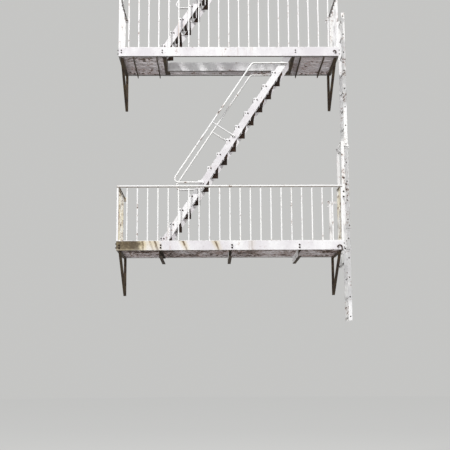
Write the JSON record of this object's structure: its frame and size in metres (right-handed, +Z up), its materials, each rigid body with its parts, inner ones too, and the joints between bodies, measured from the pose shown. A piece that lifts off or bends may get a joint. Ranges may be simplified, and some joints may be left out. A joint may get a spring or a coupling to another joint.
{
  "type": "fire escape stair",
  "caption": "Steel fire escape with balconies, railings, open-tread flights through hatches, wall brackets and a sliding drop ladder.",
  "frame": {"origin": "on the wall's face, at the centre of the lowest balcony's middle wall plate", "axes": "+Z up, +Y into the wall, +X to the right along the wall seen from the front"},
  "size_m": [3.6285, 1, 8.14],
  "materials": {
    "frame_paint": "weathered",
    "railing_paint": "weathered",
    "ladder_paint": "weathered",
    "floor_paint": "weathered",
    "worn_tread": "worn",
    "wall_plate": "rusted",
    "rusty_underside": "rusted"
  },
  "bodies": {
    "structure": {"guide_rails": "ladder_paint", "guide_shoes": "ladder_paint", "guide_ties": "ladder_paint", "latch_post": "ladder_paint", "lower_bearers": "rusty_underside", "lower_brackets": "rusty_underside", "lower_end_channels": "frame_paint", "lower_end_railings": "railing_paint", "lower_flight_handrails": "railing_paint", "lower_flight_stringers": "frame_paint", "lower_flight_treads": "worn_tread", "lower_floor_slats": "floor_paint", "lower_front_channel": "frame_paint", "lower_front_railing": "railing_paint", "lower_wall_channel": "frame_paint", "lower_wall_plates": "wall_plate", "middle_bearers": "rusty_underside", "middle_brackets": "rusty_underside", "middle_end_channels": "frame_paint", "middle_end_railings": "railing_paint", "middle_flight_handrails": "railing_paint", "middle_flight_stringers": "frame_paint", "middle_flight_treads": "worn_tread", "middle_floor_slats": "floor_paint", "middle_front_channel": "frame_paint", "middle_front_railing": "railing_paint", "middle_inner_trimmer": "frame_paint", "middle_wall_channel": "frame_paint", "middle_wall_plates": "wall_plate", "upper_bearers": "rusty_underside", "upper_brackets": "rusty_underside", "upper_end_channels": "frame_paint", "upper_end_railings": "railing_paint", "upper_floor_slats": "floor_paint", "upper_front_channel": "frame_paint", "upper_front_railing": "railing_paint", "upper_inner_trimmer": "frame_paint", "upper_wall_channel": "frame_paint", "upper_wall_plates": "wall_plate"},
    "ladder": {"ladder_rungs": "ladder_paint", "ladder_stiles": "ladder_paint"}
  },
  "joints": [
    {"name": "ladder_slide", "type": "slide", "parent": "structure", "child": "ladder", "axis": [0, 0, -1], "range_m": [0, 2.2]}
  ]
}
